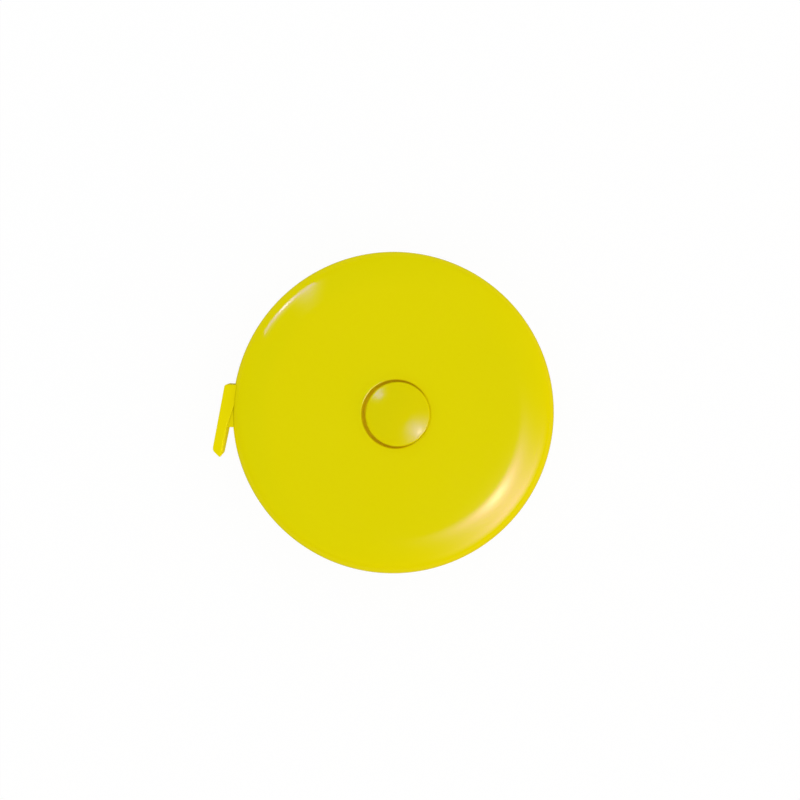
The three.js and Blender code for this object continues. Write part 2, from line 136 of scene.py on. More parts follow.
class ButtonSettings(bpy.types.PropertyGroup):
    """Sizes and colour of the push button"""

    radius: FloatProperty(
        name="Radius", description="Radius of the button's side",
        default=4.95 * MM, unit="LENGTH")
    edge_round: FloatProperty(
        name="Edge round", description="Radius of the button's edge",
        default=0.3 * MM, unit="LENGTH")
    crown_radius: FloatProperty(
        name="Crown radius", description="Radius of the shallow sphere on top",
        default=28 * MM, unit="LENGTH")
    hole_radius: FloatProperty(
        name="Hole radius", description="Radius of the hole in the face",
        default=5.26 * MM, unit="LENGTH")
    hole_round: FloatProperty(
        name="Hole round", description="Radius of the hole's edge",
        default=0.2 * MM, unit="LENGTH")
    colour: FloatVectorProperty(
        name="Colour", description="Colour of the button",
        default=(0.685, 0.607, 0), subtype="COLOR", min=0, max=1)


class TapeSettings(bpy.types.PropertyGroup):
    """Sizes and colours of the tape and its pull tab"""

    thickness: FloatProperty(
        name="Thickness", description="Thickness of the coated cloth",
        default=0.25 * MM, unit="LENGTH")
    pitch: FloatProperty(
        name="Pitch", description="Radial step between turns of the wound tape",
        default=0.67 * MM, unit="LENGTH")
    cloth: FloatVectorProperty(
        name="Cloth", description="Colour of the coated cloth",
        default=(0.86, 0.84, 0.77), subtype="COLOR", min=0, max=1)
    ink: FloatVectorProperty(
        name="Ink", description="Colour of the printed scale",
        default=(0.012, 0.012, 0.014), subtype="COLOR", min=0, max=1)
    tab_lean: FloatProperty(
        name="Tab lean", description="Slope of the tab's outer face to the rim",
        default=math.radians(7.1), subtype="ANGLE")
    tab_edge: FloatProperty(
        name="Tab edge", description="Radius of the tab's edges",
        default=0.28 * MM, unit="LENGTH")
    tip_round: FloatProperty(
        name="Tip round", description="How far the tip's two corners are rounded",
        default=0.5 * MM, unit="LENGTH")
    tab_colour: FloatVectorProperty(
        name="Tab colour", description="Colour of the pull tab",
        default=(0.81, 0.7, 0), subtype="COLOR", min=0, max=1)


class StageSettings(bpy.types.PropertyGroup):
    """Place and lens of the camera"""

    camera_distance: FloatProperty(
        name="Camera distance", description="From the lens to the case",
        default=195 * MM, unit="LENGTH")
    lean_left: FloatProperty(
        name="Lean left", description="How far the camera leans towards the tab",
        default=math.radians(4.2), subtype="ANGLE")
    lean_up: FloatProperty(
        name="Lean up", description="How far the camera leans towards the top of the picture",
        default=math.radians(2.1), subtype="ANGLE")
    lens: FloatProperty(
        name="Lens", description="Focal length", default=56.17, unit="CAMERA")


def select_only(piece):
    if bpy.context.object and bpy.context.object.mode != "OBJECT":
        bpy.ops.object.mode_set(mode="OBJECT")
    bpy.ops.object.select_all(action="DESELECT")
    if piece:
        piece.select_set(True)
        bpy.context.view_layer.objects.active = piece


def start_vertex(name, point):
    """A new mesh at the origin, in edit mode, with one selected vertex at the point."""
    select_only(None)
    bpy.ops.mesh.primitive_plane_add(size=MM, enter_editmode=True, location=(0, 0, 0))
    bpy.context.object.name = name
    bpy.ops.mesh.select_mode(type="VERT")
    bpy.ops.mesh.merge(type="CENTER")
    bpy.ops.transform.translate(value=point)
    return bpy.context.object


def trace(name, points, closed=False):
    """Draws a chain of edges through the points. Stays in edit mode with all selected."""
    piece = start_vertex(name, points[0])
    chain = list(points) + ([points[0]] if closed else [])
    for before, after in zip(chain, chain[1:]):
        bpy.ops.mesh.extrude_vertices_move(
            TRANSFORM_OT_translate={"value": Vector(after) - Vector(before)})
    bpy.ops.mesh.select_all(action="SELECT")
    if closed:
        bpy.ops.mesh.remove_doubles(threshold=1e-6)
    return piece


def turn_profile(name, profile, steps):
    """Spins a profile of (radius, height) points round the case's axis into a closed piece."""
    open_ended = profile[0][0] < 1e-9
    piece = trace(name, [(r, 0, z) for r, z in profile], closed=not open_ended)
    bpy.ops.mesh.spin(steps=steps, angle=TURN, center=(0, 0, 0), axis=(0, 0, 1))
    bpy.ops.mesh.select_all(action="SELECT")
    bpy.ops.mesh.remove_doubles(threshold=1e-6)
    bpy.ops.mesh.normals_make_consistent(inside=False)
    bpy.ops.object.mode_set(mode="OBJECT")
    return piece


def raise_outline(name, points, low, high):
    """A closed outline in the plane of the tape, filled and extruded upwards."""
    piece = trace(name, [(p[0], p[1], low) for p in points], closed=True)
    bpy.ops.mesh.edge_face_add()
    bpy.ops.mesh.extrude_region_move(TRANSFORM_OT_translate={"value": (0, 0, high - low)})
    bpy.ops.mesh.select_all(action="SELECT")
    bpy.ops.mesh.normals_make_consistent(inside=False)
    bpy.ops.object.mode_set(mode="OBJECT")
    return piece


def band(name, path, low, high, thickness):
    """A strip on edge that follows a path in the plane of the tape."""
    piece = trace(name, [(p[0], p[1], low) for p in path])
    bpy.ops.mesh.extrude_region_move(TRANSFORM_OT_translate={"value": (0, 0, high - low)})
    bpy.ops.mesh.select_all(action="SELECT")
    bpy.ops.mesh.normals_make_consistent(inside=False)
    bpy.ops.object.mode_set(mode="OBJECT")
    wall = piece.modifiers.new("wall", "SOLIDIFY")
    wall.thickness = thickness
    wall.offset = 0
    apply(piece, wall)
    return piece


def apply(piece, modifier):
    select_only(piece)
    bpy.ops.object.modifier_apply(modifier=modifier.name)


def block(name, length, width, low, high, angle, along, sideways):
    """A box along a direction in the plane of the tape, from `along` on and `sideways` from the axis."""
    select_only(None)
    bpy.ops.mesh.primitive_cube_add(size=1, location=(0, 0, 0))
    piece = bpy.context.object
    piece.name = name
    place = Matrix.Rotation(angle, 4, "Z") @ Matrix.Translation(
        (along + length / 2, sideways, (low + high) / 2))
    piece.matrix_world = place @ Matrix.Diagonal((length, width, high - low, 1))
    bpy.ops.object.transform_apply(location=True, rotation=True, scale=True)
    return piece


def combine(piece, other, operation):
    """Joins another piece to this one, or cuts it out, and removes it."""
    change = piece.modifiers.new("combine", "BOOLEAN")
    change.operation = operation
    change.solver = "EXACT"
    change.object = other
    apply(piece, change)
    bpy.data.objects.remove(other, do_unlink=True)


def cut(piece, tool):
    combine(piece, tool, "DIFFERENCE")


def round_edges(piece, width):
    edges = piece.modifiers.new("edges", "BEVEL")
    edges.width = width
    edges.segments = 4
    edges.limit_method = "ANGLE"
    edges.angle_limit = math.radians(40)
    apply(piece, edges)


def settle(piece, material, node, body=None):
    """Gives a finished piece its material, smooth shading, lamps of its own and place in the frame."""
    select_only(piece)
    bpy.ops.object.shade_smooth_by_angle(angle=math.radians(35))
    piece.data.materials.clear()
    piece.data.materials.append(material)
    if body:
        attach(piece, body)
    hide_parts(node)
    lit = bpy.data.collections.get(f"{piece.name}_lights")
    if lit:
        lit.objects.link(piece)


def ramp(value, start, stop):
    """0 up to the start, 1 from the stop on, and a straight rise between them."""
    return min(max((value - start) / (stop - start), 0), 1)


def paint_recess_shade_and_glow(piece, depth):
    """Stores at each point of a recess a painted shade, which darkens the side away from the key lamp, and a
    painted glow, an emission that lights the recess most on the side towards the key lamp.

    The depth is 0 where the rounded edge of the recess starts and 1 where it ends.
    """
    for name in ("recess", "glow"):
        piece.data.attributes.new(name, "FLOAT", "POINT")
    recess, glow = (piece.data.attributes[name].data for name in ("recess", "glow"))
    # The side towards the key lamp gets the painted glow, the side away from it the painted shade
    bright_side = Vector(polar(1, math.radians(-20)))
    painted_glow_on_shaded_side = 0.3
    for vertex, painted_shade_level, painted_glow_level in zip(piece.data.vertices, recess, glow):
        lit = ramp(vertex.co.xy.normalized().dot(bright_side), 0.5, 0.8)
        deep = depth(vertex.co)
        # Painted shade in the deepest third of the rounding on the shaded side; painted glow over the
        # rounding on the lit side, and a little on the shaded side
        painted_shade_level.value = ramp(deep, 2 / 3, 1) * (1 - lit)
        painted_glow_level.value = painted_glow_on_shaded_side * painted_shade_level.value + ramp(deep, 0.15, 0.65) * lit


def arc(centre, radii, start, stop, steps):
    """Points on an ellipse between two angles in degrees."""
    points = []
    for i in range(steps + 1):
        angle = math.radians(start + (stop - start) * i / steps)
        points.append((centre[0] + radii[0] * math.cos(angle), centre[1] + radii[1] * math.sin(angle)))
    return points


def eased(before, corner, after, reach, steps=6):
    """Points that round a corner, from `reach` before it to `reach` behind it."""
    before, corner, after = (Vector(p) for p in (before, corner, after))
    start = corner + (before - corner).normalized() * reach
    stop = corner + (after - corner).normalized() * reach
    shares = [i / steps for i in range(steps + 1)]
    return [start.lerp(corner, t).lerp(corner.lerp(stop, t), t) for t in shares]


def polar(radius, angle):
    return (radius * math.cos(angle), radius * math.sin(angle))


def spiral(inner, outer, first, last, steps_per_turn):
    """Points from the inner to the outer radius, between two angles."""
    steps = math.ceil((last - first) / TURN * steps_per_turn)
    return [
        polar(inner + (outer - inner) * i / steps, first + (last - first) * i / steps)
        for i in range(steps + 1)
    ]


def hook_in(angle, tail, start, bend):
    """A radial tail that bends round into a spiral."""
    points = [(tail, 0), *[(start - bend + bend * math.sin(t), bend - bend * math.cos(t))
                           for t in (RIGHT * i / 6 for i in range(6))]]
    return [Matrix.Rotation(angle, 2) @ Vector(p) for p in points]


def hook_out(angle, end, tail, bend):
    """The end of a spiral that bends outwards into a radial tail."""
    points = [(end + bend - bend * math.cos(t), bend * math.sin(t) - bend)
              for t in (RIGHT * i / 6 for i in range(1, 7))]
    return [Matrix.Rotation(angle, 2) @ Vector(p) for p in (*points, (tail, 0))]


def tape_slot(past_rim, width):
    """A tool that cuts the way for the straight run of tape."""
    low, high = LEAD_LOW.z - TAPE_SPARE, LEAD_HIGH.z + TAPE_SPARE
    return block("tape_slot", LEAD_TO_RIM + past_rim, width, low, high, PULL_ANGLE, 0, -LEAD_RADIUS)


class TAPE_OT_front_cover(bpy.types.Operator):
    """Turns the front shell, with its shoulder, button hole and seam edge"""

    bl_idname = "tape.front_cover"
    bl_label = "Front cover"

    def execute(self, context):
        case, button = context.scene.tape_case, context.scene.tape_button
        flat = CASE_RADIUS - case.shoulder_reach
        inner = CASE_RADIUS - case.rim_wall
        shoulder = (flat, CASE_TOP - case.shoulder_drop)
        seam = (CASE_RADIUS - case.seam_round, RIM_LOW + case.seam_round)
        edge = (button.hole_radius + button.hole_round, CASE_TOP - button.hole_round)
        profile = [
            *arc(seam, (case.seam_round,) * 2, -90, 0, 4),
            *arc(shoulder, (case.shoulder_reach, case.shoulder_drop), 0, 90, 40),
            *[(flat + (edge[0] - flat) * i / 6, CASE_TOP) for i in range(1, 6)],
            *arc(edge, (button.hole_round,) * 2, 90, 180, 6),
            (button.hole_radius, CASE_TOP - case.face_wall),
            *arc(shoulder, (inner - flat, case.shoulder_drop - case.face_wall), 90, 0, 14),
            (inner, RIM_LOW),
        ]
        piece = turn_profile("front_cover", profile, case.steps)
        cut(piece, tape_slot(past_rim=4 * MM, width=case.mouth_width))
        rounding = button.hole_radius + button.hole_round
        # Painted shade and painted glow on the wall of the button hole
        paint_recess_shade_and_glow(piece, lambda p: (CASE_TOP - p.z) / button.hole_round if p.xy.length < rounding else 0)
        settle(piece, plastic("Moulded yellow", case.colour), "front_shell", "case")
        return {"FINISHED"}


class TAPE_OT_back_cover(bpy.types.Operator):
    """Turns the back shell, with the lip inside the seam and the arbor for the reel"""

    bl_idname = "tape.back_cover"
    bl_label = "Back cover"

    def execute(self, context):
        case = context.scene.tape_case
        flat = CASE_RADIUS - case.shoulder_reach
        inner = CASE_RADIUS - case.rim_wall
        shoulder = (flat, case.shoulder_drop)
        seam = (CASE_RADIUS - case.seam_round, RIM_HIGH - case.seam_round)
        lip_outer, lip_inner = inner - 0.3 * MM, inner - 1.1 * MM
        arbor_outer, arbor_bore, arbor_top = 4.7 * MM, 3.7 * MM, 8 * MM
        peg, peg_top = 1.4 * MM, 2.5 * MM
        profile = [
            (0, 0),
            *[(flat * i / 6, 0) for i in range(1, 6)],
            *arc(shoulder, (case.shoulder_reach, case.shoulder_drop), -90, 0, 40),
            *arc(seam, (case.seam_round,) * 2, 0, 90, 4),
            (lip_outer, RIM_HIGH),
            (lip_outer, LIP_TOP),
            (lip_inner, LIP_TOP),
            (lip_inner, RIM_HIGH - 1.5 * MM),
            *arc(shoulder, (inner - flat, case.shoulder_drop - case.face_wall), 0, -90, 14),
            (arbor_outer, case.face_wall),
            (arbor_outer, arbor_top),
            (arbor_bore, arbor_top),
            (arbor_bore, case.face_wall),
            (peg, case.face_wall),
            (peg, peg_top),
            (0, peg_top),
        ]
        piece = turn_profile("back_cover", profile, case.steps)
        cut(piece, tape_slot(past_rim=4 * MM, width=case.mouth_width))
        spare = 0.3 * MM
        for angle, width, low in arbor_slots():
            cut(piece, block("slot_tool", arbor_outer - arbor_bore + 2 * spare, width, low, arbor_top + spare,
                             angle, arbor_bore - spare, 0))
        settle(piece, plastic("Moulded yellow", case.colour), "back_shell", "case")
        return {"FINISHED"}


def winding():
    """Angle that the wound tape turns through, and the angle of the drum's slit that its inner end is in."""
    tape = bpy.context.scene.tape_tape
    sweep = (ROLL_OUTER - ROLL_INNER) / tape.pitch * TURN
    slit = LEAD_ANGLE - sweep - math.atan2(ROLL_BEND, ROLL_INNER)
    return sweep, slit


def spring_ends():
    """Angles of the clock spring's inner end, in the arbor, and its outer end, in the drum."""
    outer_end = winding()[1] + math.pi
    return outer_end - SPRING_TURNS * TURN, outer_end


def arbor_slots():
    """Angle, width and lowest height of the arbor's spring slot and its two keyways."""
    spring = spring_ends()[0]
    keyway = (1.6 * MM, 3.8 * MM)
    return (spring, 0.8 * MM, 2.6 * MM), (spring + RIGHT, *keyway), (spring - RIGHT, *keyway)


class TAPE_OT_button_cap(bpy.types.Operator):
    """Turns the push button, with its shallow crown, skirt, stop flange and stem"""

    bl_idname = "tape.button_cap"
    bl_label = "Button cap"

    def execute(self, context):
        button = context.scene.tape_button
        round_from = button.radius - button.edge_round
        lean = math.asin(round_from / (button.crown_radius - button.edge_round))
        crown = (0, BUTTON_HIGH.z - button.crown_radius)
        edge = crown[1] + (button.crown_radius - button.edge_round) * math.cos(lean)
        meeting = 90 - math.degrees(lean)
        flange = BUTTON_HIGH.x - BUTTON_X
        flange_top, flange_low = 11.2 * MM, 10.6 * MM
        stem, skirt, ceiling = 1.4 * MM, button.radius - 1.1 * MM, edge - 0.7 * MM
        profile = [
            (0, BUTTON_LOW.z),
            (stem, BUTTON_LOW.z),
            (stem, ceiling),
            (skirt, ceiling),
            (skirt, flange_low),
            (flange, flange_low),
            (flange, flange_top),
            (button.radius, flange_top),
            *arc((round_from, edge), (button.edge_round,) * 2, 0, meeting, 20),
            *arc(crown, (button.crown_radius,) * 2, meeting, 90, 20)[1:-1],
            (0, BUTTON_HIGH.z),
        ]
        piece = turn_profile("button_cap", profile, steps=160)
        select_only(piece)
        bpy.ops.object.mode_set(mode="EDIT")
        bpy.ops.mesh.select_all(action="SELECT")
        bpy.ops.transform.translate(value=(BUTTON_X, 0, 0))
        bpy.ops.object.mode_set(mode="OBJECT")
        # Painted shade and painted glow on the button's rounded edge and skirt
        paint_recess_shade_and_glow(piece, lambda p: (edge + button.edge_round - p.z) / button.edge_round)
        yellow = plastic("Button yellow", button.colour, sheen=(0.13, 0.05, 0.58))
        settle(piece, yellow, "push_button", "button")
        return {"FINISHED"}


def seat_tool():
    """The outside of the closed case, grown by the gap that the tab keeps to it."""
    case = bpy.context.scene.tape_case
    flat = CASE_RADIUS - case.shoulder_reach
    radii = (case.shoulder_reach + SEAT_GAP, case.shoulder_drop + SEAT_GAP)
    profile = [
        (0, -SEAT_GAP),
        *arc((flat, case.shoulder_drop), radii, -90, 0, 24),
        *arc((flat, CASE_TOP - case.shoulder_drop), radii, 0, 90, 24),
        (0, CASE_TOP + SEAT_GAP),
    ]
    return turn_profile("seat_tool", profile, case.steps)


class TAPE_OT_pull_grip(bpy.types.Operator):
    """Draws the pull tab's outline, extrudes it, rounds its edges and hollows its seat"""

    bl_idname = "tape.pull_grip"
    bl_label = "Pull grip"

    def execute(self, context):
        tape = context.scene.tape_tape
        seat, root = CASE_RADIUS + 0.2 * MM, 1.55 * MM
        above, below, grip, reach, bevel, corner = (v * MM for v in (2.87, 1.7, 3.5, 8.5, 1.15, 0.4))
        grip_thickness, tip_thickness = (v * MM / math.cos(tape.tab_lean) for v in (1.55, 1.45))

        def outer(along):
            return seat + root + along * math.tan(tape.tab_lean)

        grip_inner = outer(grip) - grip_thickness
        seat_end = math.sqrt(seat**2 - below**2)
        slope = (grip_inner - seat_end) / (grip - below)
        shoulder = (outer(reach - bevel), reach - bevel)
        tip = (outer(reach) - tip_thickness, reach)
        outline = [
            *eased((outer(0), 0), shoulder, tip, tape.tip_round),
            *eased(shoulder, tip, (grip_inner, grip), tape.tip_round),
            (grip_inner, grip),
            (seat_end - slope * (below + above), -above),
            *arc((outer(corner - above) - corner, corner - above), (corner, corner), -90, 0, 8),
        ]
        turned = [Matrix.Rotation(MOUTH_ANGLE, 2) @ Vector(p) for p in outline]
        piece = raise_outline("pull_grip", turned, TAB_LOW.z, TAB_HIGH.z)
        round_edges(piece, tape.tab_edge)
        heel, heel_side = 3.65 * MM, 0.25 * MM
        inner = CASE_RADIUS - 1.3 * MM
        combine(piece, block("heel", outer(0) - grip_thickness / 2 - inner, heel, TAB_LOW.z + heel_side,
                             TAB_HIGH.z - heel_side, MOUTH_ANGLE, inner, heel / 2), "UNION")
        cut(piece, seat_tool())
        cut(piece, tape_slot(past_rim=2.3 * MM, width=0.85 * MM))
        # Painted light: the grip's faces that face the case glow by emission, so its shaded inner wall reads
        # lighter
        inwards = Matrix.Rotation(-MOUTH_ANGLE, 2)
        glow = piece.data.attributes.new("glow", "FLOAT", "FACE")
        for face, painted_glow_level in zip(piece.data.polygons, glow.data):
            on_grip = (inwards @ face.center.xy).y > grip
            painted_glow_level.value = ramp(-(inwards @ face.normal.xy).x, 0.8, 1) if on_grip else 0
        yellow = plastic("Tab yellow", tape.tab_colour, roughness=0.25, sheen=(0.6, 0.5, 0.05), glow=0.4)
        settle(piece, yellow, "pull_tab", "tape_end")
        return {"FINISHED"}


class TAPE_OT_tape_ribbon(bpy.types.Operator):
    """The straight run of tape from the reel to the tab"""

    bl_idname = "tape.tape_ribbon"
    bl_label = "Tape ribbon"

    def execute(self, context):
        tape = context.scene.tape_tape
        start = Vector(polar(LEAD_RADIUS, LEAD_ANGLE))
        run = PULL.to_2d()
        length, steps = LEAD_TO_RIM + 2 * MM, 120
        path = [start + run * length * i / steps for i in range(steps + 1)]
        piece = band("tape_ribbon", path, LEAD_LOW.z, LEAD_HIGH.z, tape.thickness)
        settle(piece, printed_tape(), "tape_lead")
        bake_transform(piece)
        return {"FINISHED"}


class TAPE_OT_tape_roll(bpy.types.Operator):
    """The tape wound on the drum, with its inner end tucked into the drum's slit"""

    bl_idname = "tape.tape_roll"
    bl_label = "Tape roll"

    def execute(self, context):
        tape = context.scene.tape_tape
        sweep, slit = winding()
        tail = 10.025 * MM
        path = hook_in(slit, tail, ROLL_INNER, ROLL_BEND)
        path += spiral(ROLL_INNER, ROLL_OUTER, LEAD_ANGLE - sweep, LEAD_ANGLE, steps_per_turn=64)
        piece = band("tape_roll", path, LEAD_LOW.z, LEAD_HIGH.z, tape.thickness)
        settle(piece, plain_tape(), "tape_coil", "reel")
        return {"FINISHED"}


class TAPE_OT_springs(bpy.types.Operator):
    """The clock spring in the drum and the compression spring under the button"""

    bl_idname = "tape.springs"
    bl_label = "Springs"

    def execute(self, context):
        steel = spring_steel()
        first, last = spring_ends()
        inner, outer, bend, strip = 5.1 * MM, 9.325 * MM, 0.4 * MM, 0.2 * MM
        tail_in, tail_out = 4 * MM, 10.425 * MM
        path = hook_in(first, tail_in, inner, bend)
        path += spiral(inner, outer, first + math.atan2(bend, inner), last - math.asin(bend / outer),
                       steps_per_turn=56)
        path += hook_out(last, outer, tail_out, bend)
        piece = band("power_spring", path, MAINSPRING_LOW.z, MAINSPRING_HIGH.z, strip)
        settle(piece, steel, "mainspring", "case")

        wire, turns, radius = 0.15 * MM, 3.75, 3.05 * MM
        height = COIL_HIGH.z - COIL_LOW.z
        select_only(None)
        bpy.ops.mesh.primitive_circle_add(vertices=12, radius=wire, enter_editmode=True, location=(0, 0, 0))
        piece = bpy.context.object
        piece.name = "return_spring"
        bpy.ops.transform.rotate(value=RIGHT, orient_axis="X", center_override=(0, 0, 0))
        bpy.ops.transform.translate(value=(radius, 0, COIL_LOW.z + wire))
        bpy.ops.object.mode_set(mode="OBJECT")
        wind = piece.modifiers.new("wind", "SCREW")
        wind.angle = TURN * turns
        wind.screw_offset = height - 2 * wire
        wind.steps = wind.render_steps = int(40 * turns)
        wind.axis = "Z"
        wind.use_normal_calculate = True
        apply(piece, wind)
        bpy.ops.object.mode_set(mode="EDIT")
        bpy.ops.mesh.select_all(action="SELECT")
        bpy.ops.mesh.fill_holes(sides=0)
        bpy.ops.mesh.select_all(action="SELECT")
        bpy.ops.mesh.normals_make_consistent(inside=False)
        bpy.ops.object.mode_set(mode="OBJECT")
        settle(piece, steel, "button_spring", "case")
        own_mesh(piece)
        return {"FINISHED"}


class TAPE_OT_inner_finishes(bpy.types.Operator):
    """Materials of the moulded pieces inside the case"""

    bl_idname = "tape.inner_finishes"
    bl_label = "Inner finishes"

    def execute(self, context):
        white = plastic("Reel white", (0.8, 0.79, 0.74), roughness=0.45, sheen=(1, 1, 1))
        rubber = plastic("Brake rubber", (0.02, 0.02, 0.021), roughness=0.8, sheen=(1, 1, 1))
        finishes = {"reel": white, "reel_cap": white, "brake_plunger": white,
                    "tape_anchor": white, "brake_ring": rubber}
        for node, material in finishes.items():
            mesh = frame["nodes"][node].data
            mesh.materials.clear()
            mesh.materials.append(material)
        return {"FINISHED"}


def new_group(name, inputs, outputs):
    """A shader node group with named sockets, and its nodes by role."""
    group = bpy.data.node_groups.new(name, "ShaderNodeTree")
    for label, kind, value in inputs:
        socket = group.interface.new_socket(label, in_out="INPUT", socket_type=kind)
        socket.default_value = value
    for label, kind in outputs:
        group.interface.new_socket(label, in_out="OUTPUT", socket_type=kind)
    return group, group.nodes.new("NodeGroupInput"), group.nodes.new("NodeGroupOutput")


def math_node(tree, operation, first, second=None, third=None, clamp=False):
    node = tree.nodes.new("ShaderNodeMath")
    node.operation = operation
    node.use_clamp = clamp
    for socket, value in zip(node.inputs, (first, second, third)):
        if isinstance(value, bpy.types.NodeSocket):
            tree.links.new(value, socket)
        elif value is not None:
            socket.default_value = value
    return node.outputs[0]


def dot_node(tree, vector, direction):
    node = tree.nodes.new("ShaderNodeVectorMath")
    node.operation = "DOT_PRODUCT"
    node.inputs[1].default_value = direction
    tree.links.new(vector, node.inputs[0])
    return node.outputs["Value"]


def blend_colours(tree, factor, first, second):
    node = tree.nodes.new("ShaderNodeMix")
    node.data_type = "RGBA"
    tree.links.new(factor, node.inputs["Factor"])
    for socket, colour in ((node.inputs["A"], first), (node.inputs["B"], second)):
        if isinstance(colour, bpy.types.NodeSocket):
            tree.links.new(colour, socket)
        else:
            socket.default_value = (*colour, 1)
    return node.outputs["Result"]


def noise(tree, coordinates, scale, detail=2.0, roughness=0.5):
    node = tree.nodes.new("ShaderNodeTexNoise")
    node.inputs["Scale"].default_value = scale
    node.inputs["Detail"].default_value = detail
    node.inputs["Roughness"].default_value = roughness
    tree.links.new(coordinates, node.inputs["Vector"])
    return node.outputs["Fac"]


def moulding_group():
    """Flow marks, fine grain and gloss of moulded plastic, with a painted shade and a painted glow in its
    recesses.
    """
    if "Moulding" in bpy.data.node_groups:
        return bpy.data.node_groups["Moulding"]
    group, given, result = new_group(
        "Moulding",
        [("Colour", "NodeSocketColor", (0.5, 0.5, 0.5, 1)),
         ("Recess", "NodeSocketColor", (0.4, 0.4, 0.4, 1)),
         ("Flow", "NodeSocketFloat", 0.03),
         ("Gloss", "NodeSocketFloat", 0.2),
         ("Grain", "NodeSocketFloat", 0.03)],
        [("Colour", "NodeSocketColor"),
         ("Roughness", "NodeSocketFloat"),
         ("Height", "NodeSocketFloat"),
         ("Glow", "NodeSocketColor")])
    place = group.nodes.new("ShaderNodeTexCoord").outputs["Object"]
    # Painted shade: the recess colour is mixed in where the piece stores its painted recess shade
    recess = group.nodes.new("ShaderNodeAttribute")
    recess.attribute_name = "recess"
    colour_and_painted_shade = blend_colours(group, recess.outputs["Fac"], given.outputs["Colour"], given.outputs["Recess"])
    flow = noise(group, place, 45, detail=3)
    grain = noise(group, place, 2600, detail=3)
    smear = noise(group, place, 170, detail=4, roughness=0.6)
    shift = math_node(group, "SUBTRACT", flow, 0.5)
    shift = math_node(group, "MULTIPLY", shift, given.outputs["Flow"])
    bright = math_node(group, "ADD", shift, 1.0)
    tint = group.nodes.new("ShaderNodeHueSaturation")
    group.links.new(colour_and_painted_shade, tint.inputs["Color"])
    group.links.new(bright, tint.inputs["Value"])
    group.links.new(tint.outputs["Color"], result.inputs["Colour"])
    spread = math_node(group, "SUBTRACT", smear, 0.5)
    spread = math_node(group, "MULTIPLY", spread, given.outputs["Grain"])
    rough = math_node(group, "ADD", spread, given.outputs["Gloss"], clamp=True)
    group.links.new(rough, result.inputs["Roughness"])
    group.links.new(grain, result.inputs["Height"])
    # Painted glow: the same colour is given off as light where the piece stores a glow
    painted_glow_mask = group.nodes.new("ShaderNodeAttribute")
    painted_glow_mask.attribute_name = "glow"
    glow = blend_colours(group, painted_glow_mask.outputs["Fac"], (0, 0, 0), colour_and_painted_shade)
    group.links.new(glow, result.inputs["Glow"])
    return group


def new_material(name):
    material = bpy.data.materials.new(name)
    material.use_nodes = True
    tree = material.node_tree
    return material, tree, tree.nodes["Principled BSDF"]


def plastic(name, colour, roughness=0.07, recess=(0.95, 0.75, 0.001), sheen=(0.7, 0.134, 0.76), glow=0.166):
    """Moulded plastic or rubber in one colour, with a painted shade colour for its recesses and a tint for
    what it mirrors.

    The glow is the strength of a painted glow, an emission of the recess colour where the piece stores it.
    """
    if name in bpy.data.materials:
        return bpy.data.materials[name]
    material, tree, shader = new_material(name)
    moulding = tree.nodes.new("ShaderNodeGroup")
    moulding.node_tree = moulding_group()
    moulding.inputs["Colour"].default_value = (*colour, 1)
    # Painted shade: the colour that the recesses take on
    moulding.inputs["Recess"].default_value = (*recess, 1)
    moulding.inputs["Gloss"].default_value = roughness
    bump = tree.nodes.new("ShaderNodeBump")
    bump.inputs["Strength"].default_value = 0.04
    bump.inputs["Distance"].default_value = 0.02 * MM
    tree.links.new(moulding.outputs["Height"], bump.inputs["Height"])
    tree.links.new(bump.outputs["Normal"], shader.inputs["Normal"])
    tree.links.new(moulding.outputs["Colour"], shader.inputs["Base Color"])
    tree.links.new(moulding.outputs["Roughness"], shader.inputs["Roughness"])
    # Painted glow: the recess colour is given off as light, though the piece is no lamp
    tree.links.new(moulding.outputs["Glow"], shader.inputs["Emission Color"])
    shader.inputs["Emission Strength"].default_value = glow
    shader.inputs["IOR"].default_value = 1.5
    shader.inputs["Specular Tint"].default_value = (*sheen, 1)
    return material


def spring_steel():
    """Rolled spring steel, drawn along its length."""
    if "Spring steel" in bpy.data.materials:
        return bpy.data.materials["Spring steel"]
    material, tree, shader = new_material("Spring steel")
    place = tree.nodes.new("ShaderNodeTexCoord").outputs["Object"]
    stretch = tree.nodes.new("ShaderNodeMapping")
    stretch.inputs["Scale"].default_value = (1, 1, 30)
    tree.links.new(place, stretch.inputs["Vector"])
    streaks = noise(tree, stretch.outputs["Vector"], 400, detail=4)
    rough = math_node(tree, "MULTIPLY_ADD", streaks, 0.25, third=0.2)
    tree.links.new(rough, shader.inputs["Roughness"])
    shader.inputs["Metallic"].default_value = 1
    shader.inputs["Base Color"].default_value = (0.42, 0.44, 0.47, 1)
    return material


def weave_group():
    """Crossing threads: a height for the surface and a faint shade for the colour."""
    if "Weave" in bpy.data.node_groups:
        return bpy.data.node_groups["Weave"]
    group, given, result = new_group(
        "Weave", [("Thread", "NodeSocketFloat", 0.3 * MM)],
        [("Height", "NodeSocketFloat"), ("Shade", "NodeSocketFloat")])
    place = group.nodes.new("ShaderNodeTexCoord").outputs["Object"]
    waves = []
    for direction in (PULL, (0, 0, 1)):
        turns = math_node(group, "DIVIDE", dot_node(group, place, direction), given.outputs["Thread"])
        waves.append(math_node(group, "SINE", math_node(group, "MULTIPLY", turns, TURN)))
    crossing = math_node(group, "MULTIPLY", *waves)
    group.links.new(crossing, result.inputs["Height"])
    slubs = noise(group, place, 900, detail=3)
    group.links.new(math_node(group, "MULTIPLY_ADD", crossing, 0.12, third=slubs), result.inputs["Shade"])
    return group


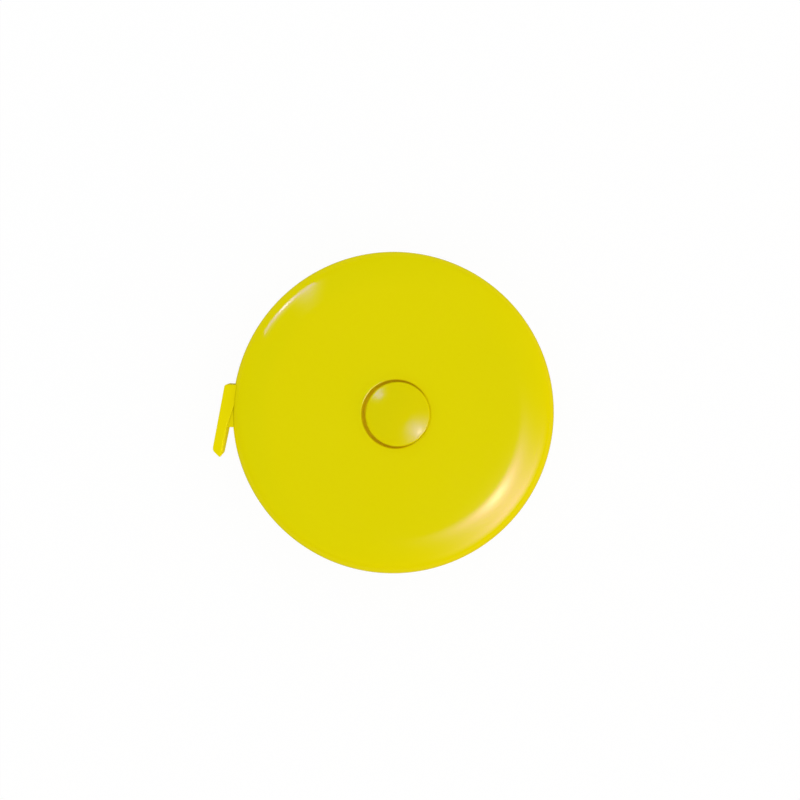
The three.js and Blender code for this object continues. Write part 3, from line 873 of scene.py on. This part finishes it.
# Strokes of a numeral on a grid one wide and two high: the left, right, low and high edge of each,
# and the digits that go without it
STROKES = (
    (0, 1, 1.75, 2, (1, 4)),
    (0, 1, 0.875, 1.125, (0, 1, 7)),
    (0, 1, 0, 0.25, (1, 4, 7)),
    (0, 0.25, 1, 2, (1, 2, 3, 7)),
    (0.75, 1, 1, 2, (5, 6)),
    (0, 0.25, 0, 1, (1, 3, 4, 5, 7, 9)),
    (0.75, 1, 0, 1, (2,)),
)


def within(tree, value, low, high):
    """1 where a value lies between two bounds, else 0."""
    above = math_node(tree, "GREATER_THAN", value, low)
    return math_node(tree, "MULTIPLY", above, math_node(tree, "LESS_THAN", value, high))


def numeral_group():
    """One digit drawn with seven strokes, as a mask."""
    group, given, result = new_group(
        "Numeral",
        [("Across", "NodeSocketFloat", 0), ("Up", "NodeSocketFloat", 0), ("Digit", "NodeSocketFloat", 0)],
        [("Mask", "NodeSocketFloat")])
    across, up, digit = given.outputs[:3]
    mask = 0.0
    for left, right, low, high, without in STROKES:
        stroke = math_node(
            group, "MULTIPLY", within(group, across, left, right), within(group, up, low, high))
        for other in without:
            same = math_node(group, "COMPARE", digit, other, third=0.5)
            stroke = math_node(group, "MULTIPLY", stroke, math_node(group, "SUBTRACT", 1.0, same))
        mask = math_node(group, "MAXIMUM", stroke, mask)
    group.links.new(mask, result.inputs["Mask"])
    return group


def scale_mask(tree):
    """Centimetre scale, drawn in millimetres: ticks along one edge and a number at each centimetre."""
    coordinates = tree.nodes.new("ShaderNodeTexCoord")
    zero = LEAD_TO_RIM + PULL_TRAVEL
    run = dot_node(tree, coordinates.outputs["Object"], PULL)
    along = math_node(tree, "MULTIPLY", math_node(tree, "SUBTRACT", zero, run), 1 / MM)
    height = dot_node(tree, coordinates.outputs["Object"], (0, 0, 1))
    up = math_node(tree, "MULTIPLY", math_node(tree, "SUBTRACT", height, LEAD_LOW.z), 1 / MM)
    # Each face reads the right way round with the tab on the left
    outside = dot_node(tree, coordinates.outputs["Normal"], (*polar(1, LEAD_ANGLE), 0))
    flip = math_node(tree, "GREATER_THAN", outside, 0.0)
    turn = math_node(tree, "MULTIPLY_ADD", flip, -2.0, third=1.0)
    width = (LEAD_HIGH.z - LEAD_LOW.z) / MM
    up = math_node(tree, "MULTIPLY_ADD", up, turn, third=math_node(tree, "MULTIPLY", flip, width))

    mask, half_tick = 0.0, 0.09
    for spacing, length in ((1, 1.6), (5, 2.3), (10, 3.0)):
        offset = math_node(tree, "WRAP", along, -spacing / 2, third=spacing / 2)
        tick = math_node(tree, "MULTIPLY", within(tree, offset, -half_tick, half_tick),
                         within(tree, up, -1, length))
        mask = math_node(tree, "MAXIMUM", tick, mask)

    number = math_node(tree, "ROUND", math_node(tree, "DIVIDE", along, 10.0))
    beside = math_node(tree, "SUBTRACT", along, math_node(tree, "MULTIPLY", number, 10.0))
    digit_width, digit_foot = 1.2, 3.6
    line = math_node(tree, "DIVIDE", math_node(tree, "SUBTRACT", up, digit_foot), digit_width)
    whole = math_node(tree, "ADD", number, 0.5)
    numeral = numeral_group()
    for unit, left in ((1, 0.2), (10, -1.4), (100, -3.0)):
        higher = math_node(tree, "FLOOR", math_node(tree, "DIVIDE", whole, unit))
        digit = tree.nodes.new("ShaderNodeGroup")
        digit.node_tree = numeral
        column = math_node(tree, "DIVIDE", math_node(tree, "SUBTRACT", beside, left), digit_width)
        tree.links.new(column, digit.inputs["Across"])
        tree.links.new(line, digit.inputs["Up"])
        tree.links.new(math_node(tree, "MODULO", higher, 10.0), digit.inputs["Digit"])
        shown = math_node(tree, "GREATER_THAN", higher, 0.5)
        mask = math_node(tree, "MAXIMUM", math_node(tree, "MULTIPLY", digit.outputs["Mask"], shown), mask)
    return mask


def cloth(name):
    """Coated woven cloth: the material, its nodes, its shader and the colour of the threads."""
    tape = bpy.context.scene.tape_tape
    material, tree, shader = new_material(name)
    weave = tree.nodes.new("ShaderNodeGroup")
    weave.node_tree = weave_group()
    shaded = [0.86 * c for c in tape.cloth]
    colour = blend_colours(tree, weave.outputs["Shade"], tape.cloth, shaded)
    bump = tree.nodes.new("ShaderNodeBump")
    bump.inputs["Strength"].default_value = 0.25
    bump.inputs["Distance"].default_value = 0.03 * MM
    tree.links.new(weave.outputs["Height"], bump.inputs["Height"])
    tree.links.new(bump.outputs["Normal"], shader.inputs["Normal"])
    shader.inputs["Roughness"].default_value = 0.5
    return material, tree, shader, colour


def plain_tape():
    material, tree, shader, colour = cloth("Tape cloth")
    tree.links.new(colour, shader.inputs["Base Color"])
    return material


def printed_tape():
    material, tree, shader, colour = cloth("Printed tape")
    ink = bpy.context.scene.tape_tape.ink
    tree.links.new(blend_colours(tree, scale_mask(tree), colour, ink), shader.inputs["Base Color"])
    return material


# Soft boxes round the case: heading from +X, angle from the zenith, spread to both sides
# and the angles of the levels in degrees, size and distance in metres
SOFT_BOXES = (
    dict(name="key", heading=-38, zenith=42, size=(0.9, 0.85), radiance=13, spread=12, levels=(
        (12, 0), (16, 0.4), (20, 0.75), (23, 0.85), (26, 0.8), (32, 0.6), (39, 0.47), (47, 0.45),
        (53, 0.48), (60, 0.56), (65, 0.4), (70, 0.2), (76, 0.07), (82, 0))),
    dict(name="core", heading=-38, zenith=26, size=(0.14, 0.24), radiance=56, colour=(0.19, 1, 0.06),
         piece="front_cover", spread=4.5, levels=(
             (15, 0), (18, 0.4), (21, 0.9), (24, 1), (28, 0.65), (32, 0.15), (37, 0))),
    dict(name="rim", heading=134, zenith=66, size=(0.28, 0.44), radiance=10.5, colour=(0.32, 0.4, 1),
         spread=16, levels=(
             (46, 0), (52, 0.06), (57, 0.25), (61, 0.9), (63, 1), (66, 0.95), (69, 0.5), (71, 0.12),
             (73, 0))),
    dict(name="glint", heading=135, zenith=64, size=(0.2, 0.1), radiance=60, colour=(0.27, 1, 0.22),
         piece="front_cover", spread=2.7, levels=((60, 0), (62, 0.8), (64, 1), (66, 0.7), (68, 0))),
    dict(name="glow", heading=124, zenith=40, size=(0.16, 0.54), radiance=4.5, colour=(0.3, 0.6, 1),
         spread=3.2, levels=(
             (14, 0), (22, 0.12), (28, 0.17), (37, 0.42), (47, 0.8), (55, 1), (60, 0.5), (64, 0))),
    dict(name="spark", heading=130, zenith=17, size=(0.2, 0.28), radiance=15, colour=(0.65, 1, 1),
         piece="button_cap", spread=9, levels=(
             (10, 0), (12, 0.6), (14, 1), (17, 0.9), (20, 0.7), (25, 0.5), (31, 0))),
    dict(name="flash", heading=-38, zenith=24, size=(0.036, 0.012), radiance=400, colour=(0.49, 1, 0.075),
         piece="button_cap"),
    dict(name="side", heading=-30, zenith=80, size=(1.2, 0.2), radiance=3.8, colour=(1, 0.5, 0.1),
         distance=1, mirrored=False),
)


def soft_box(name, heading, zenith, size, radiance, colour=(1, 1, 1), distance=0.6, mirrored=True,
             piece=None, spread=None, levels=None):
    """A soft box that faces the case, and lights every piece or one alone.

    A mirrored one shows in the gloss alone, any other lights the colours alone.
    """
    around, down = math.radians(heading), math.radians(zenith)
    towards = Vector((math.cos(around) * math.sin(down), math.sin(around) * math.sin(down), math.cos(down)))
    lamp = bpy.data.lights.new(name, "AREA")
    lamp.shape = "RECTANGLE"
    lamp.size, lamp.size_y = size
    lamp.energy = radiance * math.pi * size[0] * size[1]
    lamp.color = colour
    light = bpy.data.objects.new(name, lamp)
    bpy.context.scene.collection.objects.link(light)
    across = Vector((-math.sin(around), math.cos(around), 0))
    upright = towards.cross(across)
    turn = Matrix((across, upright, towards)).transposed().to_4x4()
    light.matrix_world = Matrix.Translation(towards * distance + Vector((0, 0, CASE_TOP))) @ turn
    light.visible_camera = False
    light.visible_diffuse = not mirrored
    light.visible_glossy = mirrored
    if piece:
        label = f"{piece}_lights"
        lit = bpy.data.collections.get(label) or bpy.data.collections.new(label)
        light.light_linking.receiver_collection = lit
    if levels:
        veil(lamp, heading, spread, levels)


def veil(lamp, heading, spread, levels):
    """Fades a soft box to both sides of its heading, and sets its level by the angle from the zenith."""
    lamp.use_nodes = True
    tree = lamp.node_tree
    place = tree.nodes.new("ShaderNodeNewGeometry").outputs["Position"]
    around = math.radians(heading)
    ahead = dot_node(tree, place, (math.cos(around), math.sin(around), 0))
    aside = dot_node(tree, place, (-math.sin(around), math.cos(around), 0))
    turn = math_node(tree, "DIVIDE", math_node(tree, "ARCTAN2", aside, ahead), math.radians(spread))
    square = math_node(tree, "MULTIPLY", turn, turn)
    fade = math_node(tree, "EXPONENT", math_node(tree, "MULTIPLY", square, -0.5))
    away = tree.nodes.new("ShaderNodeVectorMath")
    away.operation = "LENGTH"
    tree.links.new(place, away.inputs[0])
    rise = math_node(tree, "DIVIDE", dot_node(tree, place, (0, 0, 1)), away.outputs["Value"])
    down = math_node(tree, "DIVIDE", math_node(tree, "ARCCOSINE", rise), RIGHT)
    curve = tree.nodes.new("ShaderNodeValToRGB")
    stops = curve.color_ramp.elements
    while len(stops) < len(levels):
        stops.new(1)
    for stop, (angle, level) in zip(stops, levels):
        stop.position = angle / 90
        stop.color = (level, level, level, 1)
    tree.links.new(down, curve.inputs["Fac"])
    level = math_node(tree, "MULTIPLY", fade, curve.outputs["Color"])
    tree.links.new(level, tree.nodes["Emission"].inputs["Strength"])


class TAPE_OT_stage(bpy.types.Operator):
    """Floor, a card for a painted reflection of the floor, world, soft boxes and the camera above the face"""

    bl_idname = "tape.stage"
    bl_label = "Stage"

    def execute(self, context):
        select_only(None)
        bpy.ops.mesh.primitive_plane_add(size=60, location=(0, 0, -0.02 * MM))
        floor = bpy.context.object
        floor.name = "floor"
        floor.data.materials.append(floor_white())
        bounce_card()
        world_white()
        for settings in SOFT_BOXES:
            soft_box(**settings)
        context.scene.view_settings.view_transform = "Standard"
        place_camera(context.scene.tape_stage)
        return {"FINISHED"}


def floor_white():
    """Pale floor that looks white and keeps a faint, soft shadow in the share that is left matt."""
    material = bpy.data.materials.new("Floor white")
    material.use_nodes = True
    tree = material.node_tree
    tree.nodes.clear()
    matt = tree.nodes.new("ShaderNodeBsdfDiffuse")
    matt.inputs["Color"].default_value = (0.92, 0.92, 0.92, 1)
    glow = tree.nodes.new("ShaderNodeEmission")
    glow.inputs["Strength"].default_value = 1
    path = tree.nodes.new("ShaderNodeLightPath")
    seen = math_node(tree, "ADD", path.outputs["Is Camera Ray"], path.outputs["Is Glossy Ray"])
    seen = math_node(tree, "ADD", seen, path.outputs["Is Transmission Ray"], clamp=True)
    white_share = math_node(tree, "MULTIPLY", seen, 0.95)
    blend = tree.nodes.new("ShaderNodeMixShader")
    tree.links.new(white_share, blend.inputs["Fac"])
    tree.links.new(matt.outputs["BSDF"], blend.inputs[1])
    tree.links.new(glow.outputs["Emission"], blend.inputs[2])
    result = tree.nodes.new("ShaderNodeOutputMaterial")
    tree.links.new(blend.outputs["Shader"], result.inputs["Surface"])
    return material


def bounce_card():
    """A tan card on the floor that only the gloss shows: a painted reflection of the floor near the case,
    darker than the white floor and tinted by the light the case throws there.
    """
    select_only(None)
    bpy.ops.mesh.primitive_plane_add(size=6, location=(0, 0, -0.01 * MM))
    card = bpy.context.object
    card.name = "bounce_card"
    card.visible_camera = card.visible_diffuse = card.visible_shadow = False
    material, _, shader = new_material("Tan card")
    # Painted reflection: a tan shade for the floor beside the case
    shader.inputs["Base Color"].default_value = (0.35, 0.3, 0.06, 1)
    shader.inputs["Specular IOR Level"].default_value = 0
    card.data.materials.append(material)


def world_white():
    """Even white light from all round, which the gloss doesn't show."""
    world = bpy.data.worlds.new("White")
    bpy.context.scene.world = world
    world.use_nodes = True
    world.node_tree.nodes["Background"].inputs["Color"].default_value = (1, 1, 1, 1)
    world.cycles_visibility.glossy = False


def place_camera(stage):
    """A camera above the face that looks at the middle of the picture."""
    target = Vector((0.902 * MM, 2.024 * MM, 9.0 * MM))
    back = Vector((-math.tan(stage.lean_left), math.tan(stage.lean_up), 1)).normalized()
    across = Vector((0, 1, 0)).cross(back).normalized()
    upright = back.cross(across)
    camera = bpy.data.objects.new("camera", bpy.data.cameras.new("camera"))
    bpy.context.scene.collection.objects.link(camera)
    turn = Matrix((across, upright, back)).transposed().to_4x4()
    camera.matrix_world = Matrix.Translation(target + back * stage.camera_distance) @ turn
    camera.data.lens = stage.lens
    camera.data.sensor_width = 36
    camera.data.clip_start = 1 * MM
    camera.data.clip_end = 50
    bpy.context.scene.camera = camera


class TAPE_PT_panel(bpy.types.Panel):
    """Settings and steps of the tape measure"""

    bl_idname = "TAPE_PT_panel"
    bl_label = "Tape measure"
    bl_space_type = "VIEW_3D"
    bl_region_type = "UI"
    bl_category = "Tape measure"

    def draw(self, context):
        layout = self.layout
        for operator in OPERATORS:
            layout.operator(operator.bl_idname)
        for name in SETTINGS:
            box = layout.box()
            group = getattr(context.scene, name)
            for label in group.__annotations__:
                box.prop(group, label)


SETTINGS = {
    "tape_case": CaseSettings,
    "tape_button": ButtonSettings,
    "tape_tape": TapeSettings,
    "tape_stage": StageSettings,
}
OPERATORS = (
    TAPE_OT_stage,
    TAPE_OT_front_cover,
    TAPE_OT_back_cover,
    TAPE_OT_button_cap,
    TAPE_OT_pull_grip,
    TAPE_OT_tape_ribbon,
    TAPE_OT_tape_roll,
    TAPE_OT_springs,
    TAPE_OT_inner_finishes,
)


def register():
    for made in (*SETTINGS.values(), *OPERATORS, TAPE_PT_panel):
        bpy.utils.register_class(made)
    for name, group in SETTINGS.items():
        setattr(bpy.types.Scene, name, PointerProperty(type=group))


def unregister():
    for name in SETTINGS:
        delattr(bpy.types.Scene, name)
    for made in reversed((*SETTINGS.values(), *OPERATORS, TAPE_PT_panel)):
        bpy.utils.unregister_class(made)


def main():
    register()
    bpy.ops.tape.stage()
    bpy.ops.tape.front_cover()
    bpy.ops.tape.back_cover()
    bpy.ops.tape.button_cap()
    bpy.ops.tape.pull_grip()
    bpy.ops.tape.tape_ribbon()
    bpy.ops.tape.tape_roll()
    bpy.ops.tape.springs()
    bpy.ops.tape.inner_finishes()


if __name__ == "__main__":
    main()
